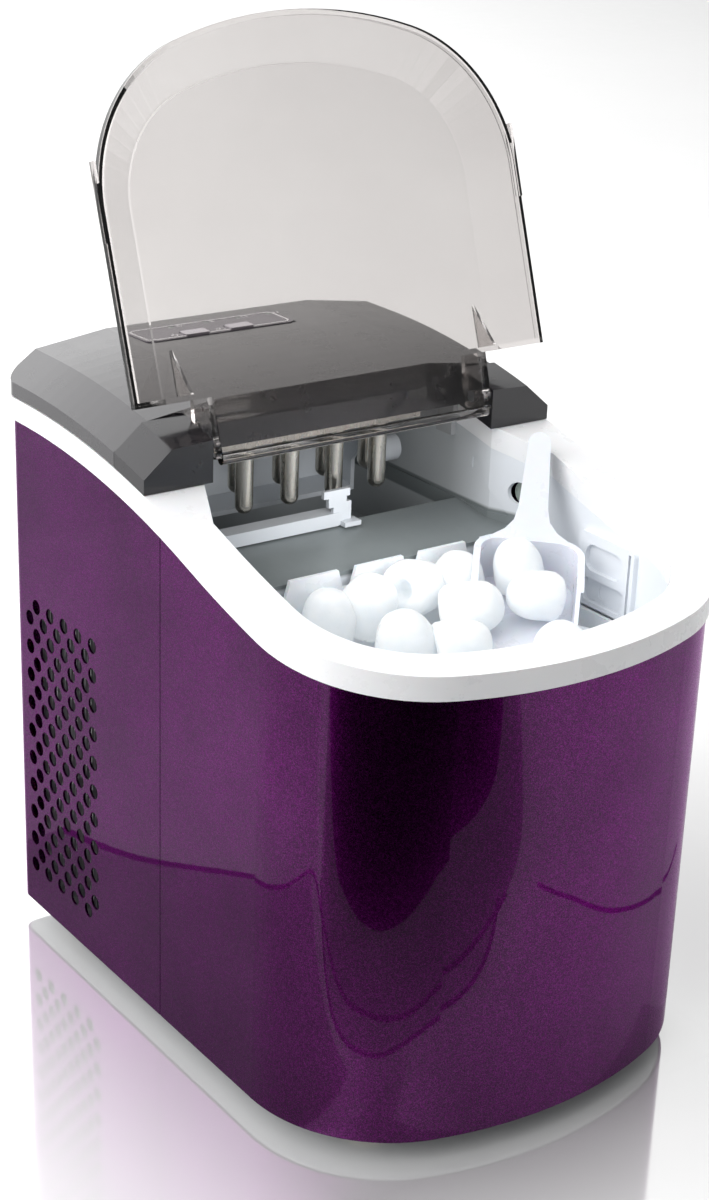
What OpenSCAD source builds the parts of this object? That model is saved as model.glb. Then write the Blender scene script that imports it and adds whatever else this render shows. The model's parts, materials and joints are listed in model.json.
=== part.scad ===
// Countertop bullet-ice maker with its lid open.
// +X is the user's right, -Y the front, +Z up; the origin is on the floor.

/* [Case] */
// Width over the white rim
width = 242;  // [220:1:260]
// Depth over the white rim and the rear of the cover
depth = 319;  // [300:1:340]
// Plan radius of the two front corners
corner_r = 78;  // [60:1:90]
// Plan radius of the bowed front
front_r = 217.5;  // [190:0.5:260]
// Plan radius of the two rear corners
rear_r = 9.5;  // [6:0.5:14]
// How far the rim stands out past the metal shell
rim_over = 1.5;  // [0.5:0.5:3]
// Thickness of the painted metal shell
shell_t = 1.2;  // [0.8:0.1:2]
// Height of the shell's lower edge
shell_z = 11;  // [9:0.5:14]
// Y of the seam between the front wrap and the side panels
seam_y = 9.3;  // [0:0.1:20]
// Gap left at each seam
seam_gap = 0.6;  // [0.3:0.1:1]

/* [Top curve] */
// Height of the shell's top edge at the rear
crest_z = 285.5;  // [270:0.5:300]
// Y where the top edge starts to fall
crest_y = 137.6;  // [120:0.1:150]
// Radius of the falling part of the curve
crest_r = 510.3;  // [400:0.1:600]
// Y where the curve turns over
turn_y = -16.7;  // [-40:0.1:0]
// Radius of the hollow front part of the curve
hollow_r = 632.4;  // [500:0.1:700]

/* [Rim and cover] */
// Thickness of the white rim
rim_t = 11.5;  // [9:0.5:14]
// Width of the rim's top face at the sides
rim_w = 19.5;  // [16:0.5:24]
// Half width of the opening under the hinge
throat_w = 87;  // [80:1:95]
// Y of the opening's rear wall
throat_y = 148;  // [140:1:152]
// Wall of the dark cover
cover_t = 2.6;  // [2:0.1:4]
// Y of the cover's front edge behind the hinge
cover_y = 48.5;  // [46:0.5:54]
// Y of the hinge blocks' front faces
block_y = 20.9;  // [18:0.1:26]
// Half width of the gap between the hinge blocks
block_x = 83.6;  // [80:0.1:88]

/* [Lid] */
// Backward lean of the open lid, from upright
lid_lean = 19;  // [10:1:25]
// Depth of the lid from rim to flat panel
lid_h = 16.4;  // [12:0.2:22]
// Height of the lid's upright edge band
lid_band = 4;  // [3:0.5:8]
// Wall of the lid
lid_t = 2.6;  // [2:0.1:4]
// Inset of the flat panel from the lid's outline
lid_inset = 22;  // [16:0.5:28]
// Length of the apron below the lid
apron_len = 29.4;  // [20:0.2:36]
// Radius of the hinge pins
pin_r = 3;  // [2:0.1:4]
// Radial clearance of the pins in the blocks
pin_fit = 0.08;  // [0.03:0.01:0.1]

/* [Ice making] */
// Pitch of the freezing fingers across the machine
finger_pitch = 27.2;  // [24:0.1:30]
// Radius of one finger
finger_r = 4.6;  // [4:0.1:6]
// Height of the fingers' tips
finger_z = 249;  // [240:1:260]
// Y of the front row of fingers
finger_y = 60;  // [50:1:70]
// Distance between the two rows
row_gap = 28;  // [22:1:34]
// Height of the fixed shelf in front of the tray
shelf_z = 232;  // [220:1:240]
// Tray angle at rest, down from level
tray_rest = 90;  // [60:1:95]

/* [Basket and scoop] */
// Height of the basket floor
basket_z = 150;  // [130:1:170]
// Height of the basket rim at the front and sides
basket_top = 206;  // [190:1:215]
// Height of the basket's rear wall below its teeth
basket_rear = 226;  // [216:1:230]
// Gap between the basket and the opening
basket_gap = 3.5;  // [2.5:0.1:6]

/* [Cooling] */
// Radius of the compressor shell
comp_r = 48;  // [40:1:52]
// Radius over the fan blades
fan_r = 42;  // [36:1:46]
// Vent holes in each column
vent_rows = 10;  // [6:1:12]
// Columns of vent holes
vent_cols = 10;  // [6:1:12]
// Radius of one vent hole
vent_r = 4;  // [2:0.1:4]

/* [Hidden] */
$fn = 96;
half_w = width / 2;
rear_y = depth / 2;
front_cy = front_r - depth / 2;
corner_cx = half_w - corner_r;
corner_cy = front_cy - sqrt(pow(front_r - corner_r, 2) - pow(corner_cx, 2));
shell_in = rim_over + shell_t;
turn_a = asin((crest_y - turn_y) / crest_r);
c1 = [crest_y, crest_z - crest_r];
c2 = c1 + (crest_r + hollow_r) * [-sin(turn_a), cos(turn_a)];
// lid corner in the open pose and hinge axis
lid_y = 28;
lid_z = 323.4;
axis_y = 33.3;
axis_z = 299;
// the same axis in the lid's own frame
pin_s = 15.5 + (axis_y - lid_y) * cos(90 + lid_lean) - (axis_z - lid_z) * sin(90 + lid_lean);
pin_h = (axis_y - lid_y) * sin(90 + lid_lean) + (axis_z - lid_z) * cos(90 + lid_lean);
pan_z = 10;
tub_z = 60;
tub_t = 2.2;
well_z = 202;
well_y = 50;
shelf_rise = 6;
sensor_y = 7.9;
sensor_z = 251.4;
tray_y = 97;
tray_z = 278;
tray_x = 64;
tray_t = 2.4;
tray_front = -46.6;
tray_back = -0.6;
tray_floor = -32.5;
tray_lip = -14;
tray_draft = 3.3;
evap_z = 286;
label_x = -56;
label_y = 124;
label_w = 88;
label_d = 25;
crown_d = 37.5;
cond_y0 = 72;
cond_y1 = 140;
fan_y = 106;
fan_z = 112;
comp_x = 50;
comp_y = 85;
grommet_r = 52;
comp_z = 24;
screw_r = 3;
drain_x = -60;
drain_z = 32;
inlet_x = 76;
inlet_d = 22;
inlet_z = 46;
bowl_w = 52;
bowl_l = 62;
bowl_h = 26;
scoop_at = [71.4, -29, 243];
handle_l = 56.5;
handle_tilt = 41.6;

buttons = [[-27.5, 129.6], [-0.7, 129.6]];
lenses = [[-33, 144.2], [-12, 144.2], [8, 144.2], [27, 144.2]];

// height of the shell's top edge at a given y
function edge_z(y) =
    y > crest_y ? crest_z :
    y > turn_y ? c1[1] + sqrt(pow(crest_r, 2) - pow(crest_y - y, 2)) :
    c2[1] - sqrt(pow(hollow_r, 2) - pow(y - c2[0], 2));

// plan outline of the bowed front, t inside the rim
module bow(t) {
    translate([-(half_w - t), corner_cy])
        square([2 * (half_w - t), 30 - corner_cy]);
    for (s = [-1, 1])
        translate([s * corner_cx, corner_cy])
            circle(r = corner_r - t);
    intersection() {
        translate([0, front_cy])
            circle(r = front_r - t, $fn = 240);
        polygon([[0, front_cy],
                 [-3 * corner_cx, front_cy + 3 * (corner_cy - front_cy)],
                 [3 * corner_cx, front_cy + 3 * (corner_cy - front_cy)]]);
    }
}

// plan outline of the whole case, t inside the rim
module plan(t) {
    bow(t);
    translate([-(half_w - t), 0])
        square([2 * (half_w - t), rear_y - rear_r]);
    translate([-(half_w - rear_r), 0])
        square([2 * (half_w - rear_r), rear_y - t]);
    for (s = [-1, 1])
        translate([s * (half_w - rear_r), rear_y - rear_r])
            circle(r = rear_r - t);
}

// plan outline of the opening, grown by g
module opening(g) {
    intersection() {
        bow(rim_w - g);
        translate([-half_w, -rear_y])
            square([width, rear_y - 8]);
    }
    polygon([[-(half_w - rim_w + g), -8.01], [half_w - rim_w + g, -8.01],
             [throat_w + g, 24], [throat_w + g, throat_y + g],
             [-(throat_w + g), throat_y + g], [-(throat_w + g), 24]]);
}

// everything below the top curve, moved out by d
module under(d) {
    far = 60;
    rotate([90, 0, 90])
        linear_extrude(width + far, center = true) {
            translate([crest_y, -far])
                square([far, crest_z + d + far]);
            intersection() {
                translate(c1)
                    circle(r = crest_r + d, $fn = 360);
                polygon([c1, c1 + (crest_r + far) * [-sin(turn_a), cos(turn_a)],
                         [crest_y, crest_z + far]]);
            }
            difference() {
                polygon([c1, c1 + (crest_r + far) * [-sin(turn_a), cos(turn_a)],
                         [-rear_y - far, crest_z + far], [-rear_y - far, -far]]);
                translate(c2)
                    circle(r = hollow_r - d, $fn = 360);
            }
        }
}

// solid slice of the case between two heights
module slab(t, z0, z1) {
    translate([0, 0, z0])
        linear_extrude(z1 - z0)
            plan(t);
}

// box from its two corners
module box(a, b) {
    translate(a)
        cube(b - a);
}

// round bar along X
module bar_x(r, x0, x1, y, z) {
    translate([x0, y, z])
        rotate([0, 90, 0])
            cylinder(r = r, h = x1 - x0);
}

// round bar along Y
module bar_y(r, x, y0, y1, z) {
    translate([x, y0, z])
        rotate([-90, 0, 0])
            cylinder(r = r, h = y1 - y0);
}

// rounded plate in XY
module pad(w, d, r, h) {
    translate([r, r, 0])
        linear_extrude(h)
            union() {
                translate([-r, 0])
                    square([w, d - 2 * r]);
                translate([0, -r])
                    square([w - 2 * r, d]);
                for (i = [0, 1], j = [0, 1])
                    translate([i * (w - 2 * r), j * (d - 2 * r)])
                        circle(r = r, $fn = 32);
            }
}

// tube elbow: a quarter ring in the XY plane, centred on its bend
module elbow(bend, r) {
    rotate_extrude(angle = 90)
        translate([bend, 0])
            circle(r = r, $fn = 24);
}

module base_pan() {
    wall = 2;
    color("Gainsboro")
        difference() {
            union() {
                difference() {
                    slab(shell_in + 0.4, pan_z, 21);
                    slab(shell_in + 0.4 + wall, pan_z + wall + 0.5, 22);
                }
                for (x = [-60, 0, 60])
                    box([x - 1, -120, pan_z + 2], [x + 1, 20, 16]);
                box([-70, -60, pan_z + 2], [70, -58, 16]);
                for (a = [45 : 90 : 315])
                    translate([comp_x + grommet_r * cos(a), comp_y + grommet_r * sin(a), pan_z + 2])
                        cylinder(r = 9, h = 4);
            }
            for (x = [-80 : 10 : -50])
                box([x, 60, pan_z - 1], [x + 4, 140, pan_z + 3]);
        }
}

module feet() {
    color("DimGray")
        for (p = [[-92, 128], [92, 128], [-72, -104], [72, -104]])
            translate([p[0], p[1], 0])
                rotate_extrude()
                    polygon([[0, 0], [9, 0], [11, 2], [11, pan_z], [0, pan_z]]);
}

// hollow skin of the case under the top curve
module skin() {
    intersection() {
        difference() {
            slab(rim_over, shell_z, crest_z + 10);
            slab(shell_in, shell_z - 1, crest_z + 11);
        }
        under(0);
    }
}

module front_wrap() {
    color("Indigo")
        intersection() {
            skin();
            box([-half_w, -rear_y, 0], [half_w, seam_y - seam_gap, crest_z + 20]);
        }
}

// one side panel with its staggered vents; s is -1 left, 1 right
module side_panel(s) {
    col = 7.3;
    row = 16.15;
    difference() {
        intersection() {
            skin();
            box([s > 0 ? 104 : -half_w, seam_y, 0],
                [s > 0 ? half_w : -104, rear_y, crest_z + 20]);
        }
        for (i = [0 : vent_cols - 1], j = [0 : vent_rows - 1])
            bar_x(vent_r, s > 0 ? 116 : -half_w, s > 0 ? half_w : -116,
                  140.5 - i * col, 35.3 + j * row + (i % 2) * row / 2);
    }
}

module left_panel() {
    color("Indigo")
        side_panel(-1);
}

module right_panel() {
    color("Indigo")
        side_panel(1);
}

module rear_panel() {
    color("DimGray")
        difference() {
            box([-103.4, rear_y - shell_in, shell_z], [103.4, rear_y - rim_over, crest_z - 0.5]);
            for (i = [0 : 8])
                box([-40 + i * 16, rear_y - 4, 96], [-34 + i * 16, rear_y, 150]);
            for (i = [0 : 8])
                box([-40 + i * 16, rear_y - 4, 164], [-34 + i * 16, rear_y, 190]);
            box([inlet_x - 16.3, rear_y - 4, inlet_z - 12.8],
                [inlet_x + 16.3, rear_y, inlet_z + 12.8]);
            bar_y(11.4, drain_x, rear_y - 4, rear_y, drain_z);
        }
}

module rim() {
    color("White")
        difference() {
            intersection() {
                slab(0, shell_z + 200, crest_z + 30);
                under(rim_t);
            }
            under(0.01);
            translate([0, 0, shell_z])
                linear_extrude(crest_z + 40)
                    opening(0);
        }
}

// solid swept under the top curve: section points are [x, height over the edge]
module swept(pts, y0, y1, steps) {
    n = len(pts);
    ys = [for (k = [0 : steps]) y0 + (y1 - y0) * k / steps];
    polyhedron(
        points = [for (y = ys) for (p = pts) [p[0], y, edge_z(y) + p[1]]],
        faces = concat(
            [[for (i = [n - 1 : -1 : 0]) i]],
            [[for (i = [0 : n - 1]) steps * n + i]],
            [for (k = [0 : steps - 1]) for (i = [0 : n - 1]) for (h = [0, 1])
                h == 0 ? [k * n + i, (k + 1) * n + (i + 1) % n, (k + 1) * n + i]
                       : [k * n + i, k * n + (i + 1) % n, (k + 1) * n + (i + 1) % n]]));
}

// section of the cover, drawn in by t
function cover_sec(w, t, low) = [
    [-w, low], [w, low], [w, 32 - (w - 103) * 0.694 - t * 1.3],
    [103 - t * 0.7, 32 - t], [62 - t * 0.2, crown_d - t],
    [-(62 - t * 0.2), crown_d - t], [-(103 - t * 0.7), 32 - t], [-w, 32 - (w - 103) * 0.694 - t * 1.3]];

module cover() {
    color([0.16, 0.14, 0.18])
        difference() {
            intersection() {
                swept(cover_sec(half_w + 1, 0, 12.4), cover_y, rear_y + 1, 12);
                slab(0, 200, crest_z + 60);
            }
            swept(cover_sec(half_w - cover_t, cover_t, 11), cover_y + cover_t,
                  rear_y - cover_t - 1, 12);
            translate([label_x, label_y, crest_z + crown_d - 1.2])
                cube([label_w, label_d, 5]);
            for (p = buttons)
                translate([p[0] - 7.6, p[1] - 4.1, crest_z + crown_d - 6])
                    cube([15.2, 8.2, 10]);
            for (p = lenses)
                translate([p[0], p[1], crest_z + crown_d - 6])
                    cylinder(r = 1.8, h = 10, $fn = 24);
        }
}

// hinge block on the right; the left one is its mirror image
module block() {
    difference() {
        swept([[block_x, 12.2], [half_w, 12.2], [half_w, 19.5], [106, 32], [block_x, 33]],
              block_y, cover_y - 0.3, 6);
        bar_x(pin_r + pin_fit, block_x - 1, 94, axis_y, axis_z);
    }
}

module hinge_block_right() {
    color([0.1, 0.09, 0.11])
        block();
}

module hinge_block_left() {
    color([0.1, 0.09, 0.11])
        mirror([1, 0, 0])
            block();
}

// from the lid's own frame (rim plane flat, front toward -Y) to the open pose
module lid_open() {
    translate([0, lid_y, lid_z])
        rotate([-90 - lid_lean, 0, 0])
            translate([0, -15.5, 0])
                children();
}

// D-shaped slice of the lid in its own frame
module lid_slice(t, z, h, back) {
    translate([0, 0, z])
        linear_extrude(h)
            intersection() {
                bow(t);
                translate([-half_w, -rear_y])
                    square([width, rear_y + 15.5 - back]);
            }
}

// solid dish: band, bevel and flat top, drawn in by t
module lid_body(t, back) {
    $fn = 64;
    lid_slice(t, t > 0 ? -1 : 0, lid_band + (t > 0 ? 1 : 0) - t * 0.4, back);
    hull() {
        lid_slice(t, lid_band - t * 0.4 - 0.1, 0.1, back);
        lid_slice(lid_inset + t * 0.4, lid_h - t - 0.1, 0.1, back);
        translate([-(half_w - lid_inset - t * 0.4), 14 - back, lid_h - t - 0.1])
            cube([2 * (half_w - lid_inset - t * 0.4), 1.5, 0.1]);
    }
}

// cheek that carries a hinge pin, in the lid's own frame
module cheek(x) {
    sy = pin_s;
    sh = pin_h;
    translate([x, 0, 0])
        rotate([90, 0, 90])
            linear_extrude(4.2)
                difference() {
                    union() {
                        polygon([[13, 0], [13, lid_h - 0.4], [16, lid_h - 0.4],
                                 [sy + 1, sh + 6.9], [sy + 7.6, 3], [sy + 7.6, 1], [16, 0]]);
                        translate([sy, sh])
                            circle(r = 7, $fn = 48);
                    }
                    translate([sy, sh])
                        circle(r = pin_r, $fn = 48);
                }
}

module lid() {
    grip = 0.7;
    color([0.4, 0.36, 0.38, 0.5])
        lid_open() {
            difference() {
                lid_body(0, 0);
                lid_body(lid_t, lid_t);
            }
            for (s = [-1, 1]) {
                box([s > 0 ? half_w - 1 : -half_w - grip, -97, 0],
                    [s > 0 ? half_w + grip : -half_w + 1, -60, 3]);
                translate([s * 90 - 0.8, 0, 0])
                    rotate([90, 0, 90])
                        linear_extrude(1.6)
                            polygon([[13, 0.5], [13, lid_h - 2.5], [-9, lid_h - 2.5]]);
            }
            cheek(block_x - 0.8 - 4.2);
            cheek(-(block_x - 0.8));
            box([-(block_x - 4), 13, 0], [block_x - 4, 15.5 + apron_len, 2.4]);
            bar_x(2.6, -(block_x - 4), block_x - 4, 15.5 + apron_len, 2.6);
            box([-(block_x - 4), 15.5 + 9, 2], [block_x - 4, 15.5 + 11, 4.5]);
            box([-(block_x - 4), 15.5 + 19, 2], [block_x - 4, 15.5 + 20.6, 4]);
        }
}

module lid_pins() {
    color("Silver")
        for (s = [-1, 1])
            bar_x(pin_r, s > 0 ? block_x - 5 : -93, s > 0 ? 93 : 5 - block_x, axis_y, axis_z);
}

module label() {
    color([0.3, 0.28, 0.33])
        difference() {
            translate([label_x + 0.3, label_y + 0.3, crest_z + crown_d - 1.2])
                pad(label_w - 0.6, label_d - 0.6, 4, 1.5);
            for (p = buttons)
                translate([p[0] - 7.6, p[1] - 4.1, crest_z + crown_d - 3])
                    cube([15.2, 8.2, 10]);
            for (p = lenses)
                translate([p[0], p[1], crest_z + crown_d - 6])
                    cylinder(r = 1.8, h = 10, $fn = 24);
        }
}

// key cap with a wider foot under the cover
module key_cap(p) {
    translate([p[0] - 7.2, p[1] - 3.7, crest_z + crown_d - 4.2])
        pad(14.4, 7.4, 1.5, 5.2);
    translate([p[0] - 3, p[1] - 2, crest_z + crown_d - 8.2])
        cube([6, 4, 4.4]);
}

module power_button() {
    color("Silver")
        key_cap(buttons[0]);
}

module select_button() {
    color("Silver")
        key_cap(buttons[1]);
}

module indicator_lenses() {
    color([0.8, 0.95, 0.85])
        for (p = lenses)
            translate([p[0], p[1], crest_z + crown_d - 7])
                cylinder(r = 1.7, h = 7.2, $fn = 24);
}

module display_board() {
    color("DarkGreen") {
        box([-54, 118, crest_z + crown_d - 12.5], [42, 152, crest_z + crown_d - 10.9]);
        for (p = buttons)
            translate([p[0] - 3, p[1] - 3, crest_z + crown_d - 11])
                cube([6, 6, 1.6]);
    }
}

// everything above the shelf, which slopes down to the basket
module over_shelf() {
    rotate([90, 0, 90])
        linear_extrude(width, center = true)
            polygon([[4.4, shelf_z], [well_y + 0.1, shelf_z + shelf_rise],
                     [throat_y + 2, shelf_z + shelf_rise], [throat_y + 2, 400], [0, 400], [0, shelf_z]]);
}

// shallow recess that leaves a stepped panel on each throat wall
module side_recess() {
    depth_in = 0.8;
    intersection() {
        translate([0, 0, shelf_z + shelf_rise])
            linear_extrude(200)
                opening(depth_in);
        rotate([90, 0, 90])
            linear_extrude(width, center = true)
                polygon([[throat_y - 1, 232], [throat_y - 1, 400], [54, 400], [54, 258], [38.5, 258],
                         [38.5, 264], [30.5, 264], [30.5, 258], [13, 238.5], [13, 232]]);
    }
}

// raised panel on the right wall with two windows, a slot and a small oval
module wall_panel() {
    proud = 3;
    bottom = 207;
    deep = proud - 0.4;
    translate([half_w - rim_w - proud, -35, bottom])
        rotate([90, 0, 90])
            mirror([1, 0, 0])
                difference() {
                    pad(41, 38.5, 4, 20);
                    translate([6, 19, -1])
                        pad(26.5, 14, 5.5, deep + 1);
                    translate([6, 2.5, -1])
                        pad(29, 12.5, 2.5, deep + 1);
                    translate([15, 5, -1])
                        pad(4, 6.5, 1.9, proud + 2.2);
                    translate([37, -1, -1])
                        cube([1.6, 37, 4]);
                }
}

module liner() {
    color("LightSteelBlue")
        difference() {
            intersection() {
                union() {
                    translate([0, 0, tub_z - tub_t])
                        linear_extrude(300)
                            intersection() {
                                opening(tub_t);
                                translate([-half_w, -rear_y])
                                    square([width, rear_y + 7]);
                            }
                    translate([0, 0, well_z - tub_t])
                        linear_extrude(200)
                            intersection() {
                                opening(tub_t);
                                translate([-half_w, 4])
                                    square([width, rear_y]);
                            }
                }
                under(-0.05);
            }
            difference() {
                translate([0, 0, tub_z])
                    linear_extrude(400)
                        intersection() {
                            opening(0);
                            translate([-half_w, -rear_y])
                                square([width, rear_y + 4.5]);
                        }
                for (s = [-1, 1], y = [-96, -14])
                    box([s > 0 ? 76 : -half_w, y - 5, tub_z - 1],
                        [s > 0 ? half_w : -76, y + 5, basket_z - 0.3]);
                wall_panel();
            }
            intersection() {
                translate([0, 0, shelf_z])
                    linear_extrude(200)
                        opening(0);
                over_shelf();
            }
            box([-throat_w, well_y, well_z], [throat_w, throat_y, 400]);
            side_recess();
            for (s = [-1, 1])
                bar_x(6, s > 0 ? throat_w - 2 : -120, s > 0 ? 120 : 2 - throat_w, sensor_y, sensor_z);
            bar_y(5, -60, 2, 8, 72);
            bar_y(5, drain_x, 2, 9, 100);
            bar_x(5.2, -92, -84, 72, 268);
            for (s = [-1, 1])
                bar_x(4.1, s > 0 ? 84 : -92, s > 0 ? 92 : -84, tray_y, tray_z);
        }
}

module foam() {
    color("Khaki")
        difference() {
            intersection() {
                slab(shell_in + 0.6, 40, crest_z);
                under(-1.5);
                box([-half_w, -rear_y, 40], [half_w, -2, crest_z]);
            }
            translate([0, 0, tub_z - tub_t - 0.4])
                linear_extrude(300)
                    opening(tub_t + 0.4);
        }
}

// plan outline of the basket, t inside its wall
module basket_plan(t) {
    intersection() {
        opening(-basket_gap - t);
        translate([-half_w, -rear_y])
            square([width, rear_y + 1.5 - t]);
    }
}

// one tooth gap of the basket's rear wall
module tooth_gap() {
    polygon([[-2.7, -9.5], [2.7, -9.5], [5.4, 0.1], [-5.4, 0.1]]);
}

module ice_basket() {
    wall = 2.2;
    tooth = 9.5;
    step_y = -18;  // where the low side walls start to rise to the rear wall
    rise_y = -2;
    slot = [6, 12, 5];
    teeth_w = 185;
    color("White") {
        difference() {
            union() {
                translate([0, 0, basket_z])
                    linear_extrude(basket_top - basket_z)
                        basket_plan(0);
                intersection() {
                    translate([0, 0, basket_z])
                        linear_extrude(basket_rear - basket_z)
                            basket_plan(0);
                    rotate([90, 0, 90])
                        linear_extrude(width, center = true)
                            polygon([
                                [5, basket_rear],
                                [rise_y, basket_rear],
                                [step_y, basket_top - 1],
                                [5, basket_top - 1]
                            ]);
                }
            }
            translate([0, 0, basket_z + wall])
                linear_extrude(100)
                    basket_plan(wall);
            for (x = [-60 : 15 : 60], y = [-110 : 20 : -20])
                translate([x - slot.x / 2, y, basket_z - 1])
                    cube(slot);
        }
        translate([0, 1.5, basket_rear - 1])
            rotate([90, 0, 0])
                linear_extrude(wall)
                    difference() {
                        translate([-teeth_w / 2, 0])
                            square([teeth_w, tooth + 1]);
                        for (x = [-58.5, -19.5, 19.5, 58.5])
                            translate([x, tooth + 1])
                                tooth_gap();
                    }
    }
}

// plan of the scoop's bowl, t inside its wall, open toward -Y
module bowl_plan(t) {
    difference() {
        translate([-(bowl_w / 2 - t), -bowl_l - 20])
            square([bowl_w - 2 * t, bowl_l + 20 - t]);
        for (s = [-1, 1])
            translate([s * (bowl_w / 2 - t), -t])
                rotate([0, 0, s > 0 ? 180 : 270])
                    difference() {
                        translate([-1, -1])
                            square([13 - t, 13 - t]);
                        translate([12 - t, 12 - t])
                            circle(r = 12 - t, $fn = 48);
                    }
    }
}

// scoop in its own frame: bowl mouth toward -Y, handle rising toward +Y
module scoop_shape() {
    wall = 2;
    difference() {
        intersection() {
            union() {
                linear_extrude(bowl_h)
                    bowl_plan(0);
                translate([0, 0, bowl_h - 2])
                    linear_extrude(2)
                        bowl_plan(-1.5);
            }
            rotate([90, 0, 90])
                linear_extrude(bowl_w + 20, center = true)
                    polygon([[3, 0], [3, bowl_h], [-36, bowl_h], [-bowl_l, 7], [-bowl_l, 0]]);
        }
        translate([0, 0, wall])
            linear_extrude(bowl_h)
                bowl_plan(wall);
    }
    translate([0, 0.5, bowl_h - 2.4])
        rotate([handle_tilt, 0, 0]) {
            linear_extrude(3)
                union() {
                    polygon([[-21, 0], [21, 0], [13, 5], [9, 10], [7.4, 17], [5.6, handle_l - 5.6],
                             [-5.6, handle_l - 5.6], [-7.4, 17], [-9, 10], [-13, 5]]);
                    translate([0, handle_l - 5.6])
                        circle(r = 5.6, $fn = 48);
                }
            for (x = [-4.5, 3.1])
                translate([x, 3, -2.5])
                    cube([1.4, handle_l - 12, 3]);
        }
}

module ice_scoop() {
    color("White")
        translate(scoop_at)
            rotate([0, 0, -40])
                rotate([0, 3, 0])
                    rotate([14, 0, 0])
                        translate([0, 0, -bowl_h])
                            scoop_shape();
}

module evaporator_plate() {
    color("Silver")
        box([-61, 52, evap_z], [61, 96, evap_z + 4]);
}

// one freezing finger with a round tip
module finger(x, y) {
    translate([x, y, finger_z])
        rotate_extrude($fn = 48)
            intersection() {
                union() {
                    translate([0, finger_r])
                        circle(r = finger_r, $fn = 48);
                    translate([0, finger_r])
                        square([finger_r, evap_z - finger_z - finger_r]);
                }
                square([finger_r, 60]);
            }
}

module fingers() {
    color("Silver") {
        for (i = [-1.5 : 1 : 1.5])
            finger(i * finger_pitch, finger_y);
        for (i = [-2 : 1 : 2])
            finger(i * finger_pitch, finger_y + row_gap);
    }
}

module evaporator_tube() {
    z = evap_z + 4 + 4.5;
    color("Peru") {
        bar_x(4.5, -50, 50, finger_y, z);
        bar_x(4.5, -50, 50, finger_y + row_gap, z);
        translate([50, finger_y + row_gap / 2, z])
            rotate([0, 0, -90])
                rotate_extrude(angle = 180)
                    translate([row_gap / 2, 0])
                        circle(r = 4.5, $fn = 32);
        translate([-50, finger_y, z])
            sphere(r = 4.5);
        translate([-50, finger_y + row_gap, z])
            sphere(r = 4.5);
    }
}

module evaporator_bracket() {
    z = evap_z + 4 + 9.4;
    color("Gainsboro")
        difference() {
            union() {
                box([-throat_w + 0.5, 53, z], [throat_w - 0.5, 96, z + 3]);
                for (s = [-1, 1])
                    box([s > 0 ? throat_w - 3.5 : 0.5 - throat_w, 53, 272],
                        [s > 0 ? throat_w - 0.5 : 3.5 - throat_w, 66, z + 1]);
            }
            for (x = [-50, -25, 0, 25, 50])
                translate([x - 5, 66, z - 1])
                    cube([10, 16, 5]);
        }
}

// end view of the tray, drawn in by a wall thickness for the hollow
module tray_section(wall, top) {
    polygon([[tray_front + wall, tray_floor + wall], [tray_back - wall, tray_floor + wall],
             [tray_back - wall, top], [tray_front - tray_draft + wall, top]]);
}

// the tray in its level pose, hinge axis at the origin
module tray_shape() {
    front = tray_front;
    back = tray_back;
    floor_z = tray_floor;
    lip_z = tray_lip;
    difference() {
        translate([-tray_x, 0, 0])
            rotate([90, 0, 90])
                linear_extrude(2 * tray_x)
                    tray_section(0, lip_z);
        translate([tray_t - tray_x, 0, 0])
            rotate([90, 0, 90])
                linear_extrude(2 * (tray_x - tray_t))
                    tray_section(tray_t, lip_z + 1);
    }
    for (s = [-1, 1])
        translate([s * tray_x - (s > 0 ? tray_t : 0), 0, 0])
            rotate([90, 0, 90])
                linear_extrude(tray_t)
                    union() {
                        polygon([[-34, lip_z - 1], [back, lip_z - 1], [6.8, 0], [-4, 5.8]]);
                        circle(r = 7, $fn = 48);
                    }
    bar_x(7.5, tray_x - 1, tray_x + 16, -24, -1);
    for (x = [-40, 0, 40])
        box([x - 1, front + 4, floor_z - 2], [x + 1, back - 6, floor_z + 0.5]);
}

module water_tray() {
    color("LightSteelBlue")
        translate([0, tray_y, tray_z])
            rotate([tray_rest, 0, 0])
                difference() {
                    tray_shape();
                    for (s = [-1, 1])
                        bar_x(4, s > 0 ? tray_x - 5 : -tray_x - 2, s > 0 ? tray_x + 2 : 5 - tray_x, 0, 0);
                }
}

module tray_pivots() {
    color("Silver")
        for (s = [-1, 1])
            bar_x(4, s > 0 ? tray_x - 2 : -91, s > 0 ? 91 : 2 - tray_x, tray_y, tray_z);
}

module tray_motor() {
    color("DarkGray") {
        box([91.5, 84, 250], [101, 120, 280]);
        bar_x(15, 101, 112, 104, 264);
    }
}

module ice_pusher() {
    y = 44.6;
    z = shelf_z + shelf_rise + 0.3;
    color("LightSlateGray") {
        box([-80, y, z], [6, y + 10, z + 7]);
        bar_y(3.5, 6, y, y + 10, z + 3.5);
        box([-80, y - 2.5, z], [-78, y + 1, z + 5]);
        box([4, y + 1, z], [15, y + 3.4, z + 12]);
        box([1, y + 1, z + 10], [12, y + 3.4, z + 18]);
        box([-2, y + 1, z + 15], [14, y + 3.4, z + 19]);
        box([8, y - 4, z], [18, y + 3.4, z + 2.4]);
    }
}

module sensor_pair() {
    color([0.2, 0.2, 0.25])
        for (s = [-1, 1])
            bar_x(5.6, s > 0 ? 96.2 : -107, s > 0 ? 107 : -96.2, sensor_y, sensor_z);
}

module water_nozzle() {
    color("Gainsboro")
        difference() {
            union() {
                bar_x(5, -92, -78, 72, 268);
                bar_x(8, -94, -89.4, 72, 268);
            }
            bar_x(3, -95, -77, 72, 268);
        }
}

module pump() {
    color("DimGray") {
        translate([-60, 26, 62])
            cylinder(r = 15, h = 34);
        translate([-60, 26, 96])
            cylinder(r = 11, h = 16);
        bar_y(4.8, -60, 7, 14, 72);
        bar_x(4, -86, -70, 26, 70);
    }
}

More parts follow.
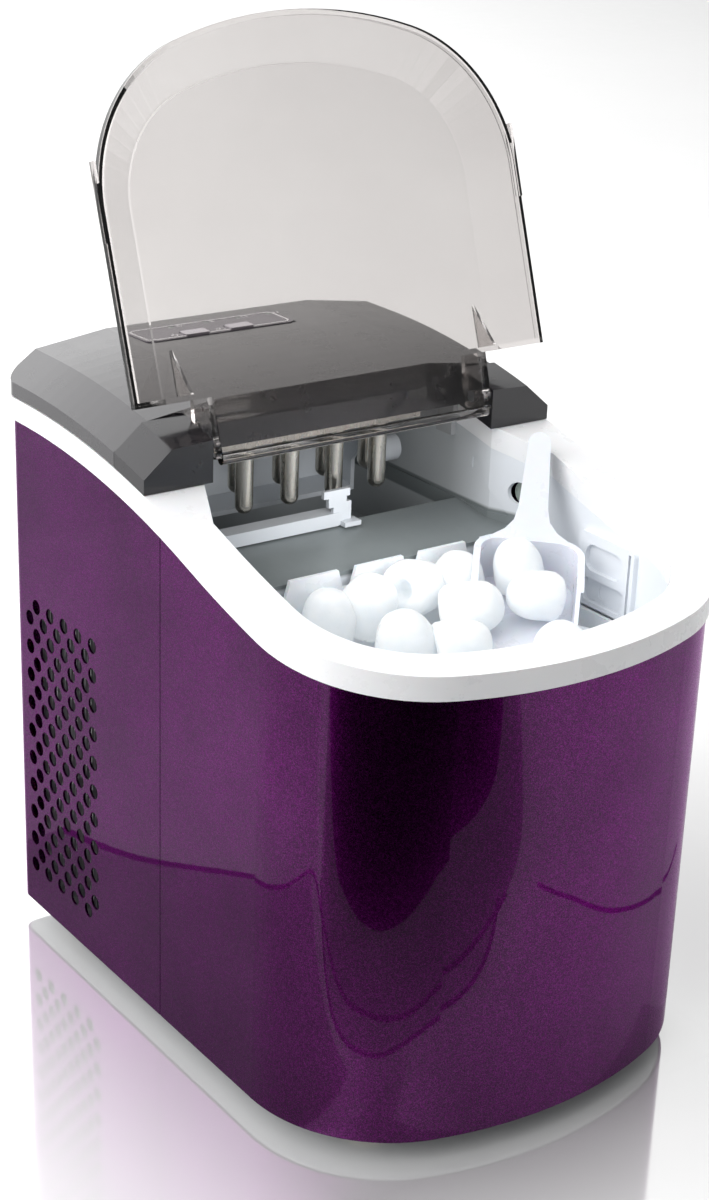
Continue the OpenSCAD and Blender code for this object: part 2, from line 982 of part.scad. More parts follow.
module pump_hose() {
    color("WhiteSmoke") {
        bar_x(5, -94, -86, 26, 70);
        translate([-94, 26, 80])
            rotate([90, 0, 0])
                rotate([0, 0, 180])
                    elbow(10, 5);
        translate([-104, 26, 80])
            cylinder(r = 5, h = 178);
        translate([-104, 36, 258])
            rotate([0, -90, 0])
                rotate([0, 0, -90])
                    translate([0, 0, 0])
                        elbow(10, 5);
        bar_y(5, -104, 36, 62, 268);
        translate([-94, 62, 268])
            rotate([0, 0, 90])
                elbow(10, 5);
    }
}

// welded shell of the compressor
module comp_shell() {
    translate([comp_x, comp_y, comp_z]) {
        rotate_extrude()
            polygon([[0, 0], [30, 0], [42, 6], [comp_r, 16], [comp_r, 92], [comp_r - 6, 108],
                     [comp_r - 18, 118], [0, 122]]);
        translate([0, 0, 52])
            cylinder(r = comp_r + 1.5, h = 4);
    }
}

module compressor() {
    color([0.13, 0.13, 0.14]) {
        comp_shell();
        translate([comp_x, comp_y, comp_z])
            for (a = [45 : 90 : 315])
                rotate([0, 0, a])
                    translate([26, -9, 0])
                        cube([34, 18, 3]);
    }
}

module compressor_cap() {
    color([0.2, 0.2, 0.22])
        box([comp_x - 16, comp_y - comp_r - 22, comp_z + 34],
            [comp_x + 16, comp_y - comp_r - 2, comp_z + 74]);
}

module grommets() {
    color([0.1, 0.1, 0.1])
        for (a = [45 : 90 : 315])
            translate([comp_x + grommet_r * cos(a), comp_y + grommet_r * sin(a), pan_z + 6])
                cylinder(r = 7.5, h = comp_z - pan_z - 6);
}

module condenser_fins() {
    color("Silver")
        difference() {
            for (i = [0 : 21])
                box([-114, cond_y0 + 2 + i * 3, 30], [-98, cond_y0 + 2.6 + i * 3, 190]);
            for (k = [0 : 6])
                bar_y(3, -106, cond_y0, cond_y1, 42 + k * 22.5);
        }
}

module condenser_tube() {
    color("Peru") {
        for (k = [0 : 6])
            bar_y(3, -106, cond_y0, cond_y1, 42 + k * 22.5);
        for (k = [0 : 5])
            translate([-106, k % 2 == 0 ? cond_y1 : cond_y0, 42 + k * 22.5 + 11.25])
                rotate([90, 0, k % 2 == 0 ? 90 : -90])
                    rotate([0, 0, -90])
                        rotate_extrude(angle = 180)
                            translate([11.25, 0])
                                circle(r = 3, $fn = 24);
    }
}

module fan_shroud() {
    color("WhiteSmoke")
        difference() {
            union() {
                box([-96.5, 62, 28], [-94, 150, 192]);
                bar_x(fan_r + 4.5, -96, -78, fan_y, fan_z);
            }
            bar_x(fan_r + 2, -100, -70, fan_y, fan_z);
        }
    color("WhiteSmoke")
        for (a = [45, 135, 225, 315])
            translate([0, fan_y, fan_z])
                rotate([a, 0, 0])
                    box([-96.2, 20, -1.5], [-94.4, fan_r + 3, 1.5]);
    color("WhiteSmoke")
        difference() {
            bar_x(21, -96.2, -94.4, fan_y, fan_z);
            bar_x(4, -97, -93, fan_y, fan_z);
        }
}

module fan_blade() {
    color([0.92, 0.92, 0.9])
        difference() {
            union() {
                bar_x(12, -92, -78, fan_y, fan_z);
                for (a = [0 : 360 / 7 : 359])
                    translate([-85, fan_y, fan_z])
                        rotate([a, 0, 0])
                            translate([0, 0, 11])
                                rotate([0, 0, 32])
                                    box([-0.8, -10, 0], [0.8, 10, fan_r - 14]);
            }
            bar_x(2.5, -93, -77, fan_y, fan_z);
        }
}

module fan_shaft() {
    color("Silver")
        bar_x(2.5, -92.5, -70, fan_y, fan_z);
}

module fan_motor() {
    color("DimGray")
        difference() {
            union() {
                bar_x(20, -74, -46, fan_y, fan_z);
                for (a = [45, 225])
                    translate([0, fan_y, fan_z])
                        rotate([a, 0, 0])
                            box([-77.6, -4, -fan_r - 4], [-73, 4, -10]);
            }
            bar_x(2.56, -80, -69.5, fan_y, fan_z);
        }
}

module gas_valve() {
    color("Goldenrod") {
        translate([-20, 140, 162])
            cylinder(r = 7, h = 18);
        box([-33, 132, 180], [-7, 150, 197]);
    }
}

module drier() {
    color("Peru")
        translate([-34, 60, 30])
            rotate_extrude()
                polygon([[0, 0], [3, 0], [8, 8], [8, 62], [3, 72], [0, 72]]);
}

module copper_lines() {
    r = 3;
    top = comp_z + 122;
    color("Peru") {
        difference() {
            union() {
                translate([comp_x - 14, comp_y + 22, top - 22])
                    cylinder(r = r, h = 30);
                translate([comp_x - 24, comp_y + 22, top + 8])
                    rotate([90, 0, 0])
                        elbow(10, r);
                bar_x(r, -10, comp_x - 24, comp_y + 22, top + 18);
                translate([-10, comp_y + 32, top + 18])
                    rotate([0, 0, 180])
                        elbow(10, r);
                bar_y(r, -20, comp_y + 32, 133, top + 18);
                translate([comp_x + 16, comp_y - 20, top - 16])
                    cylinder(r = 4, h = 60);
            }
            comp_shell();
        }
        translate([-34, 60, 102])
            cylinder(r = 1.6, h = 70);
    }
}

module main_board() {
    color("DarkGreen")
        box([101, 56, 166], [102.8, 140, 246]);
    color([0.15, 0.15, 0.18]) {
        box([102.6, 62, 172], [114, 86, 196]);
        box([102.6, 96, 206], [112, 112, 228]);
        bar_x(6, 102.6, 114, 124, 184);
        bar_x(5, 102.6, 112, 126, 214);
    }
}

module wiring() {
    r = 2.5;
    side = inlet_x + 16;
    color("Firebrick") {
        bar_x(r, side, side + 4, 146, inlet_z);
        translate([side + 4, 146, inlet_z + 10])
            rotate([90, 0, 0])
                rotate([0, 0, 270])
                    elbow(10, r);
        translate([side + 14, 146, inlet_z + 10])
            cylinder(r = r, h = 144);
        translate([side + 14, 136, inlet_z + 154])
            rotate([0, -90, 180])
                rotate([0, 0, 270])
                    elbow(10, r);
    }
}

module drain_spout() {
    color("Gainsboro")
        difference() {
            union() {
                bar_y(9, drain_x, 128, rear_y - 5, drain_z);
                bar_y(11.2, drain_x, rear_y - 5, rear_y - 0.5, drain_z);
            }
            bar_y(6, drain_x, 127, rear_y, drain_z);
        }
}

module drain_cap() {
    color("DimGray") {
        bar_y(5.95, drain_x, rear_y - 12, rear_y - 0.4, drain_z);
        bar_y(10, drain_x, rear_y - 0.4, rear_y, drain_z);
    }
}

module power_inlet() {
    color([0.08, 0.08, 0.08])
        difference() {
            union() {
                translate([inlet_x - 16, rear_y - inlet_d, inlet_z - 12.5])
                    cube([32, inlet_d - 0.5, 25]);
                translate([inlet_x - 21, rear_y - 1.5, inlet_z - 15])
                    cube([42, 1.4, 30]);
            }
            translate([inlet_x - 12, rear_y - 17, inlet_z - 8.5])
                cube([24, 20, 17]);
        }
}

module inlet_pins() {
    color("Silver")
        for (p = [[-7, -2], [7, -2], [0, 3]])
            translate([inlet_x + p[0] - 1, rear_y - 17, inlet_z + p[1] - 2.5])
                cube([2, 12, 5]);
}

module screws() {
    color("Silver") {
        for (x = [-94, 94], z = [24, 150, 268])
            bar_y(screw_r, x, rear_y - rim_over, rear_y - 0.1, z);
        for (x = [-30, 30])
            bar_y(screw_r, x, rear_y - rim_over, rear_y - 0.1, 268);
    }
}

base_pan();
feet();
front_wrap();
left_panel();
right_panel();
rear_panel();
rim();
cover();
hinge_block_left();
hinge_block_right();
lid();
lid_pins();
label();
power_button();
select_button();
indicator_lenses();
display_board();
liner();
foam();
ice_basket();
ice_scoop();
evaporator_plate();
fingers();
evaporator_tube();
evaporator_bracket();
water_tray();
tray_pivots();
tray_motor();
ice_pusher();
sensor_pair();
water_nozzle();
pump();
pump_hose();
compressor();
compressor_cap();
grommets();
condenser_fins();
condenser_tube();
fan_shroud();
fan_blade();
fan_shaft();
fan_motor();
gas_valve();
drier();
copper_lines();
main_board();
wiring();
drain_spout();
drain_cap();
power_inlet();
inlet_pins();
screws();
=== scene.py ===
import bpy
import json
import math
from mathutils import Matrix, Vector, noise


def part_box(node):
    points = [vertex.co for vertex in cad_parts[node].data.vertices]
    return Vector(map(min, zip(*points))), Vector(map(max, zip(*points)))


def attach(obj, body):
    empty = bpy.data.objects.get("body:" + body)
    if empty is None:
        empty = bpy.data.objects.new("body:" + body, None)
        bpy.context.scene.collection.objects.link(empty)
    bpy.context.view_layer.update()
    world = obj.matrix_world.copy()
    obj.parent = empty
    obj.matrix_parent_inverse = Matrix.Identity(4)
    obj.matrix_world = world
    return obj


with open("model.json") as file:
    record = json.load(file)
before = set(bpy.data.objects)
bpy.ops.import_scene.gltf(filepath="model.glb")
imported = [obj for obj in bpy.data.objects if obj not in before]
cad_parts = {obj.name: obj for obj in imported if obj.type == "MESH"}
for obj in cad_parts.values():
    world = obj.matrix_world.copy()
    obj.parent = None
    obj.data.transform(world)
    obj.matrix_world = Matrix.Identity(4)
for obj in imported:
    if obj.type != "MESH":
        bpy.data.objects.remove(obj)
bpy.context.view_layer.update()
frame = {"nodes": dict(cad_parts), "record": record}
NODES = frame["nodes"]
RECORD = frame["record"]


# ---------------------------------------------------------------- materials
class Graph:
    """A small helper for building one node material."""

    def __init__(self, name):
        self.mat = bpy.data.materials.new(name)
        self.mat.use_nodes = True
        self.tree = self.mat.node_tree
        self.bsdf = self.tree.nodes["Principled BSDF"]
        self.out = self.tree.nodes["Material Output"]
        self.coord = self.tree.nodes.new("ShaderNodeTexCoord")

    def node(self, kind, **values):
        n = self.tree.nodes.new(kind)
        for key, value in values.items():
            setattr(n, key, value)
        return n

    def link(self, a, b):
        self.tree.links.new(a, b)

    def set(self, **values):
        for key, value in values.items():
            self.bsdf.inputs[key.replace("_", " ")].default_value = value

    def noise(self, scale, detail=3.0, rough=0.55, stretch=(1, 1, 1), distortion=0.0):
        m = self.node("ShaderNodeMapping")
        m.inputs["Scale"].default_value = stretch
        self.link(self.coord.outputs["Object"], m.inputs["Vector"])
        n = self.node("ShaderNodeTexNoise")
        n.inputs["Scale"].default_value = scale
        n.inputs["Detail"].default_value = detail
        n.inputs["Roughness"].default_value = rough
        n.inputs["Distortion"].default_value = distortion
        self.link(m.outputs["Vector"], n.inputs["Vector"])
        return n.outputs["Fac"]

    def cells(self, scale, feature="F1", output="Distance"):
        n = self.node("ShaderNodeTexVoronoi", feature=feature)
        n.inputs["Scale"].default_value = scale
        self.link(self.coord.outputs["Object"], n.inputs["Vector"])
        return n.outputs[output]

    def ramp(self, fac, stops):
        r = self.node("ShaderNodeValToRGB")
        while len(r.color_ramp.elements) < len(stops):
            r.color_ramp.elements.new(0.5)
        for e, (pos, col) in zip(r.color_ramp.elements, stops):
            e.position = pos
            e.color = col if len(col) == 4 else (*col, 1.0)
        self.link(fac, r.inputs["Fac"])
        return r.outputs["Color"]

    def rng(self, fac, lo, hi, a=0.3, b=0.7):
        r = self.node("ShaderNodeMapRange")
        r.inputs["From Min"].default_value = a
        r.inputs["From Max"].default_value = b
        r.inputs["To Min"].default_value = lo
        r.inputs["To Max"].default_value = hi
        self.link(fac, r.inputs["Value"])
        return r.outputs["Result"]

    def math(self, op, a, b):
        m = self.node("ShaderNodeMath", operation=op)
        for i, v in enumerate((a, b)):
            if isinstance(v, (int, float)):
                m.inputs[i].default_value = v
            else:
                self.link(v, m.inputs[i])
        return m.outputs[0]

    def bump(self, height, strength=0.2, distance=0.001, normal=None):
        b = self.node("ShaderNodeBump")
        b.inputs["Strength"].default_value = strength
        b.inputs["Distance"].default_value = distance
        self.link(height, b.inputs["Height"])
        if normal is not None:
            self.link(normal, b.inputs["Normal"])
        return b.outputs["Normal"]

    def color(self, socket):
        self.link(socket, self.bsdf.inputs["Base Color"])

    def rough(self, socket):
        self.link(socket, self.bsdf.inputs["Roughness"])

    def normal(self, socket):
        self.link(socket, self.bsdf.inputs["Normal"])


def shade(c, k):
    """The colour made k times as bright."""
    return tuple(min(1.0, max(0.0, v * k)) for v in c)


def plastic(name, base, rough=0.35, grain=900, depth=0.05, spread=0.08, coat=0.0, sub=0.0, wave=0.04):
    """Moulded plastic: fine grain, faint cloudiness, uneven gloss."""
    g = Graph(name)
    g.color(g.ramp(g.noise(18, 4), [(0.25, shade(base, 1 - spread)), (0.75, shade(base, 1 + spread))]))
    g.rough(g.rng(g.noise(60, 5, 0.65), max(0.04, rough - 0.07), rough + 0.07))
    fine = g.bump(g.noise(grain, 2), depth, 0.0004)
    g.normal(g.bump(g.noise(28, 2), wave, 0.001, fine))
    g.set(Coat_Weight=coat, Coat_Roughness=0.05, Subsurface_Weight=sub, Subsurface_Scale=0.004)
    return g


def metal(name, base, rough=0.25, stretch=(1, 1, 1), scale=300, depth=0.08, spread=0.12):
    """Bare or plated metal: drawn lines, stains and uneven polish."""
    g = Graph(name)
    g.set(Metallic=1.0)
    stains = g.noise(45, 6, 0.7, distortion=0.4)
    g.color(g.ramp(stains, [(0.3, shade(base, 1 - spread)), (0.55, base), (0.8, shade(base, 1 + spread))]))
    lines = g.noise(scale, 4, 0.6, stretch)
    g.rough(g.rng(g.math("ADD", g.math("MULTIPLY", lines, 0.5), g.math("MULTIPLY", stains, 0.5)),
                  max(0.04, rough - 0.1), rough + 0.12))
    g.normal(g.bump(lines, depth, 0.0003))
    return g


def violet_paint():
    """Metallic violet: fine flakes under a glossy clear coat."""
    g = Graph("violet_paint")
    flakes = g.cells(2600, output="Color")
    sep = g.node("ShaderNodeSeparateColor")
    g.link(flakes, sep.inputs["Color"])
    tone = g.math("ADD", g.math("MULTIPLY", sep.outputs[0], 0.55), g.math("MULTIPLY", g.noise(14, 3), 0.45))
    g.color(g.ramp(tone, [(0.2, (0.030, 0.001, 0.032)), (0.55, (0.074, 0.003, 0.076)),
                          (0.9, (0.20, 0.015, 0.20))]))
    g.set(Metallic=1.0, Coat_Weight=0.42, Coat_Roughness=0.025, Coat_IOR=1.5,
          Specular_Tint=(0.62, 0.16, 0.64, 1))
    g.rough(g.rng(sep.outputs[1], 0.20, 0.36, 0.0, 1.0))
    g.normal(g.bump(g.noise(95, 2), 0.03, 0.0006))
    coat = g.bump(g.noise(70, 2), 0.018, 0.0006)
    g.link(coat, g.bsdf.inputs["Coat Normal"])
    return g


def smoke_clear():
    """Clear plastic with a grey tint."""
    g = Graph("smoke_clear")
    g.color(g.ramp(g.noise(9, 3), [(0.3, (0.595, 0.568, 0.556)), (0.7, (0.625, 0.60, 0.587))]))
    g.set(Transmission_Weight=1.0, IOR=1.46)
    g.rough(g.rng(g.noise(120, 5, 0.7), 0.015, 0.06))
    g.normal(g.bump(g.noise(22, 2), 0.02, 0.0006))
    return g


def frosted_ice_painted_glow():
    """Cloudy white ice with a painted glow of its own, which lifts its shaded side."""
    g = Graph("frosted_ice_painted_glow")
    cloud = g.noise(70, 5, 0.6, distortion=0.6)
    g.color(g.ramp(cloud, [(0.3, (0.77, 0.80, 0.82)), (0.7, (0.84, 0.86, 0.875))]))
    # the emission is painted light: a glow that lifts the shade on the pieces
    g.set(Subsurface_Weight=0.8, Subsurface_Scale=0.02, IOR=1.31, Coat_Weight=0.25, Coat_Roughness=0.15,
          Emission_Color=(0.93, 0.97, 1.0, 1), Emission_Strength=0.13)
    g.bsdf.inputs["Subsurface Radius"].default_value = (0.8, 0.9, 1.0)
    g.rough(g.rng(g.noise(160, 4), 0.25, 0.45))
    g.normal(g.bump(g.noise(40, 3), 0.22, 0.0015))
    return g


def clear_film(name, base, rough):
    """A clear soft or hard plastic, for the lenses and the hose."""
    g = Graph(name)
    g.color(g.ramp(g.noise(60, 3), [(0.3, shade(base, 0.9)), (0.7, base)]))
    g.set(Transmission_Weight=0.7, IOR=1.45)
    g.rough(g.rng(g.noise(300, 3), rough, rough + 0.1))
    return g


def board_green():
    """A printed board with its tracks."""
    g = plastic("board_green", (0.012, 0.12, 0.045), 0.32, 700, 0.05)
    tracks = g.node("ShaderNodeTexBrick")
    tracks.inputs["Scale"].default_value = 160
    tracks.inputs["Mortar Size"].default_value = 0.03
    tracks.inputs["Color1"].default_value = (0.010, 0.11, 0.04, 1)
    tracks.inputs["Color2"].default_value = (0.014, 0.15, 0.055, 1)
    tracks.inputs["Mortar"].default_value = (0.05, 0.26, 0.10, 1)
    g.link(g.coord.outputs["Object"], tracks.inputs["Vector"])
    g.color(tracks.outputs["Color"])
    return g


MATS = {
    "violet_paint": violet_paint(),
    "white_plastic": plastic("white_plastic", (0.89, 0.895, 0.91), 0.30, 1600, 0.008, 0.01, 0.3, 0.05,
                             0.01),
    "dark_plastic": plastic("dark_plastic", (0.018, 0.016, 0.020), 0.24, 1100, 0.012, 0.2, 0.8, 0.0, 0.01),
    "smoke_clear": smoke_clear(),
    "grey_plastic": plastic("grey_plastic", (0.70, 0.735, 0.775), 0.38, 1500, 0.05, 0.03, 0.0, 0.0, 0.015),
    "pan_plastic": plastic("pan_plastic", (0.42, 0.43, 0.44), 0.45, 900, 0.08, 0.05),
    "rear_plastic": plastic("rear_plastic", (0.045, 0.045, 0.05), 0.5, 600, 0.22, 0.2),
    "basket_plastic": plastic("basket_plastic", (0.76, 0.785, 0.85), 0.30, 1200, 0.02, 0.015, 0.15, 0.2,
                              0.012),
    "rubber_black": plastic("rubber_black", (0.02, 0.02, 0.021), 0.75, 500, 0.3, 0.3),
    "rubber_cream": plastic("rubber_cream", (0.62, 0.59, 0.50), 0.6, 500, 0.2, 0.08),
    "nickel": metal("nickel", (0.66, 0.62, 0.55), 0.24, (1, 1, 0.12), 420, 0.12, 0.2),
    "aluminium_sheet": metal("aluminium_sheet", (0.72, 0.73, 0.75), 0.35, (1, 1, 0.05), 500),
    "copper": metal("copper", (0.74, 0.36, 0.20), 0.28, (0.2, 1, 1), 260, 0.06, 0.25),
    "brass_valve": metal("brass_valve", (0.72, 0.54, 0.24), 0.3, (1, 1, 1), 300),
    "black_steel": plastic("black_steel", (0.018, 0.018, 0.02), 0.3, 350, 0.12, 0.25, 0.4),
    "steel": metal("steel", (0.56, 0.56, 0.58), 0.3, (0.1, 1, 1), 500),
    "key_silver": metal("key_silver", (0.74, 0.71, 0.76), 0.3, (0.08, 1, 1), 800, 0.05, 0.05),
    "lens_clear": clear_film("lens_clear", (0.75, 0.86, 0.80), 0.08),
    "label_film": plastic("label_film", (0.085, 0.07, 0.095), 0.2, 900, 0.02, 0.1, 0.5),
    "board_green": board_green(),
    "foam_cream": plastic("foam_cream", (0.72, 0.62, 0.36), 0.85, 260, 0.6, 0.15),
    "hose_clear": clear_film("hose_clear", (0.72, 0.76, 0.74), 0.25),
    "wire_jacket": plastic("wire_jacket", (0.42, 0.035, 0.028), 0.4, 400, 0.1, 0.1),
}
ICE_PAINTED_GLOW = frosted_ice_painted_glow().mat


def liner_grey_painted_shade():
    """The liner's plastic: pale round the basket, with painted shade that makes it greyer in the throat and
    darkest on the shelf.
    """
    g = plastic("liner_grey_painted_shade", (0.70, 0.735, 0.775), 0.38, 1500, 0.05, 0.03, 0.0, 0.0, 0.015)
    axes = g.node("ShaderNodeSeparateXYZ")
    g.link(g.coord.outputs["Object"], axes.inputs["Vector"])
    y, z = axes.outputs["Y"], axes.outputs["Z"]
    rear = basket_hi[1]
    # painted shade: greyer toward the rear of the throat and darkest on the shelf top, where the cover
    # shades it
    throat = g.rng(y, 0.0, 1.0, rear + 0.014, rear + 0.056)
    shelf_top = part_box("ice_pusher")[0][2]
    below_top = g.rng(z, 1.0, 0.0, shelf_top + 0.0008, shelf_top + 0.0028)
    level = g.math("MULTIPLY", below_top, g.rng(z, 0.0, 1.0, shelf_top - 0.010, shelf_top - 0.008))
    shelf = g.math("MULTIPLY", level, g.rng(y, 0.0, 1.0, rear, rear + 0.003))
    painted_shade = g.math("MAXIMUM", g.math("MULTIPLY", throat, 0.45), g.math("MULTIPLY", shelf, 0.9))
    tone = g.math("ADD", painted_shade, g.math("MULTIPLY", g.noise(18, 4), 0.1))
    g.color(g.ramp(tone, [(0.05, (0.78, 0.81, 0.85)), (0.5, (0.56, 0.59, 0.605)),
                          (0.95, (0.21, 0.235, 0.24))]))
    return g


basket_lo, basket_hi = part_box("ice_basket")
# nodes that look different from the rest of their slot
# painted shade: the hinge blocks take a darker, less glossy copy of the dark plastic
BLOCK_PAINTED_SHADE = plastic("block_black_painted_shade", (0.007, 0.006, 0.009), 0.22, 1100, 0.012, 0.2, 0.35, 0.0, 0.01)
# painted light: the basket takes a paler copy of the basket plastic, lifting the shade on its front-facing
# walls
BASKET_PAINTED_LIGHT = plastic("basket_white_painted_light", (0.88, 0.90, 0.93), 0.30, 1200, 0.02, 0.015, 0.15, 0.2, 0.012)
OWN = {"liner": liner_grey_painted_shade(), "hinge_block_left": BLOCK_PAINTED_SHADE, "hinge_block_right": BLOCK_PAINTED_SHADE, "ice_basket": BASKET_PAINTED_LIGHT}
PRINT = plastic("white_print", (0.95, 0.94, 0.95), 0.4, 900, 0.02).mat


# ------------------------------------------------------------ CAD node looks
# width of the rounding on each node's sharp edges
EDGE = {
    "rim": 0.0026, "base_pan": 0.0006, "front_wrap": 0.0003, "left_panel": 0.0003, "right_panel": 0.0003,
    "cover": 0.0012, "hinge_block_left": 0.0008, "hinge_block_right": 0.0008, "lid": 0.0006,
    "ice_basket": 0.0008, "ice_scoop": 0.0006, "water_tray": 0.0006, "liner": 0.0006, "ice_pusher": 0.0016,
    "power_button": 0.0005, "select_button": 0.0005, "label": 0.0003, "evaporator_plate": 0.0005,
    "power_inlet": 0.0006, "fan_blade": 0.0003, "fan_shroud": 0.0004, "compressor_cap": 0.002,
    "tray_motor": 0.001, "rear_panel": 0.0003, "feet": 0.0006, "evaporator_bracket": 0.0005,
}
for entry in RECORD["subparts"]:
    obj = NODES[entry["node"]]
    obj.data.materials.clear()
    obj.data.materials.append(OWN.get(entry["node"], MATS[entry["material_slot"]]).mat)
    obj.data.shade_smooth()
    obj.data.set_sharp_from_angle(angle=math.radians(32))
    width = EDGE.get(entry["node"])
    if width:
        b = obj.modifiers.new("edge", "BEVEL")
        b.width = width
        b.segments = 3
        b.limit_method = "ANGLE"
        b.angle_limit = math.radians(35)
        b.use_clamp_overlap = True
        b.harden_normals = False


def mesh_object(name, verts, faces, mat, smooth=True, angle=40):
    me = bpy.data.meshes.new(name)
    me.from_pydata(verts, [], faces)
    me.validate()
    me.materials.append(mat)
    if smooth:
        me.shade_smooth()
        me.set_sharp_from_angle(angle=math.radians(angle))
    ob = bpy.data.objects.new(name, me)
    bpy.context.scene.collection.objects.link(ob)
    return ob


# -------------------------------------------------------------------- ice
def ice_piece(name, place, turn, size, seed, body):
    """A bullet-shaped piece with the hollow its finger left."""
    r, length, hole, n = 0.0135 * size, 0.029 * size, 0.0040 * size, 40
    profile = []
    for k in range(9):
        a = math.pi / 2 * k / 8
        profile.append((hole * math.sin(a), 0.009 * size - hole * (1 - math.cos(a))))
    profile += [(hole * 1.05, 0.0048 * size), (hole * 1.2, 0.0022 * size), (hole * 1.6, 0.0004 * size)]
    profile += [(r * 0.62, 0), (r * 0.86, 0.0010 * size), (r * 0.97, 0.0035 * size), (r, 0.008 * size)]
    for k in range(1, 11):
        a = math.pi / 2 * k / 10
        profile.append((r * math.cos(a) ** 0.8, 0.012 * size + (length - 0.012 * size) * math.sin(a)))
    rows = len(profile)
    verts = []
    for i in range(n):
        a = 2 * math.pi * i / n
        for rad, z in profile:
            p = Vector((rad * math.cos(a), rad * math.sin(a), z))
            q = p * 85 + Vector((seed * 7.3, seed * 3.1, 0))
            k = 1 + 0.10 * noise.noise(q) + 0.03 * noise.noise(q * 3)
            verts.append((p.x * k, p.y * k, p.z * (1 + 0.04 * noise.noise(q * 0.6))))
    faces = []
    for i in range(n):
        j = (i + 1) % n
        for k in range(rows - 1):
            faces.append((i * rows + k, j * rows + k, j * rows + k + 1, i * rows + k + 1))
    ob = mesh_object(name, verts, faces, ICE_PAINTED_GLOW, True, 60)
    weld = ob.modifiers.new("weld", "WELD")
    weld.merge_threshold = 0.00005
    middle = turn @ Vector((0, 0, length / 2))
    ob.matrix_world = Matrix.Translation(Vector(place) - middle) @ turn.to_matrix().to_4x4()
    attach(ob, body)
    return ob


def stroke(points, width, closed=False):
    """Verts and faces of a flat line drawn along a run of points."""
    n = len(points)
    verts, faces = [], []
    for i in range(n):
        a = Vector(points[i - 1] if closed or i else points[0])
        b = Vector(points[(i + 1) % n] if closed or i < n - 1 else points[-1])
        side = Vector((a.y - b.y, b.x - a.x)).normalized() * width / 2
        p = Vector(points[i])
        verts += [tuple(p + side), tuple(p - side)]
    for i in range(n if closed else n - 1):
        j = (i + 1) % n
        faces.append((2 * i, 2 * i + 1, 2 * j + 1, 2 * j))
    return verts, faces


def arc(cx, cy, r, start, end, steps=20):
    return [(cx + r * math.cos(math.radians(start + (end - start) * i / steps)),
             cy + r * math.sin(math.radians(start + (end - start) * i / steps))) for i in range(steps + 1)]


def print_on(name, node, strokes, mat):
    """Lines printed on the top of a node, following its surface."""
    target = NODES[node]
    to_local = target.matrix_world.inverted()
    verts, faces = [], []
    for v, f in strokes:
        base = len(verts)
        for x, y in v:
            start = to_local @ Vector((x, y, 0.6))
            hit, where, _, _ = target.ray_cast(start, (to_local.to_3x3() @ Vector((0, 0, -1))).normalized())
            z = (target.matrix_world @ where).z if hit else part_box(node)[1][2]
            verts.append((x, y, z + 0.00012))
        faces += [tuple(base + i for i in face) for face in f]
    ob = mesh_object(name, verts, faces, mat, False)
    skin = ob.modifiers.new("skin", "SOLIDIFY")
    skin.thickness = 0.0001
    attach(ob, "case")
    return ob


def split(points, step=0.002):
    """The same run with extra points, so a long line can follow a curved face."""
    out = []
    for a, b in zip(points, points[1:] + points[:1]):
        count = max(1, int(math.dist(a, b) / step))
        dx, dy = b[0] - a[0], b[1] - a[1]
        out += [(a[0] + dx * i / count, a[1] + dy * i / count) for i in range(count)]
    return out


def about(cx, cy, points):
    """Points given in millimetres from a centre."""
    return [(cx + x / 1000, cy + y / 1000) for x, y in points]


BORDER, KEY_LINE, LAMP_LINE = 0.0008, 0.0004, 0.0003
MARK_SHIFT = 0.0048
label_lo, label_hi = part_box("label")
inset, corner = 0.0022, 0.0035
x0, x1 = label_lo[0] + inset + corner, label_hi[0] - inset - corner
y0, y1 = label_lo[1] + inset + corner, label_hi[1] - inset - corner
frame_line = (arc(x1, y1, corner, 0, 90, 8) + arc(x0, y1, corner, 90, 180, 8)
              + arc(x0, y0, corner, 180, 270, 8) + arc(x1, y0, corner, 270, 360, 8))
marks = [stroke(split(frame_line), BORDER, True)]

# a switch mark beside one key and a large and small ring beside the other
lo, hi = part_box("power_button")
cx, cy = lo[0] - MARK_SHIFT, (lo[1] + hi[1]) / 2
marks.append(stroke(arc(cx, cy, 0.0016, 120, 420), KEY_LINE))
marks.append(stroke(about(cx, cy, [(0, 0.3), (0, 2.2)]), KEY_LINE))
lo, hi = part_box("select_button")
cx, cy = lo[0] - MARK_SHIFT, (lo[1] + hi[1]) / 2
for shift, ring in ((-0.0008, 0.0010), (0.0018, 0.0015)):
    marks.append(stroke(arc(cx + shift, cy, ring, 0, 342), LAMP_LINE, True))

# a drop, a star, a full box and an open cup beside the four lamps
lens_lo, lens_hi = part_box("indicator_lenses")
lens_r = 0.0017
cy = (lens_lo[1] + lens_hi[1]) / 2
pitch = (lens_hi[0] - lens_lo[0] - 2 * lens_r) / 3
drop_x, star_x, box_x, cup_x = [lens_lo[0] + lens_r + pitch * i + MARK_SHIFT for i in range(4)]
marks.append(stroke(arc(drop_x, cy - 0.0004, 0.0012, -200, 20) + [(drop_x, cy + 0.0022)], LAMP_LINE, True))
for k in range(3):
    dx, dy = 1.8 * math.cos(k * math.pi / 3), 1.8 * math.sin(k * math.pi / 3)
    marks.append(stroke(about(star_x, cy, [(-dx, -dy), (dx, dy)]), LAMP_LINE))
box = about(box_x, cy, [(-1.5, -1.2), (1.5, -1.2), (1.5, 1.6), (-1.5, 1.6)])
cup = about(cup_x, cy, [(-1.5, 1.4), (-1.0, -1.4), (1.0, -1.4), (1.5, 1.4)])
marks += [stroke(box, LAMP_LINE, True), stroke(cup, LAMP_LINE)]
print_on("label_print", "label", marks, PRINT)


def facing(direction):
    """The turn that points a piece's dome this way."""
    return Vector((0, 0, 1)).rotation_difference(Vector(direction))


def clear_of_walls(place, reach):
    """The place, moved toward the basket's middle until it is this far from the walls."""
    middle = Vector((0, (basket_lo[1] + basket_hi[1]) / 2, place.z))
    for _ in range(30):
        near = NODES["ice_basket"].closest_point_on_mesh(place)[1]
        if (near - place).length > reach:
            break
        place = place + (middle - place).normalized() * 0.001
    return place


BACK = Vector((0, basket_hi[1], basket_hi[2]))
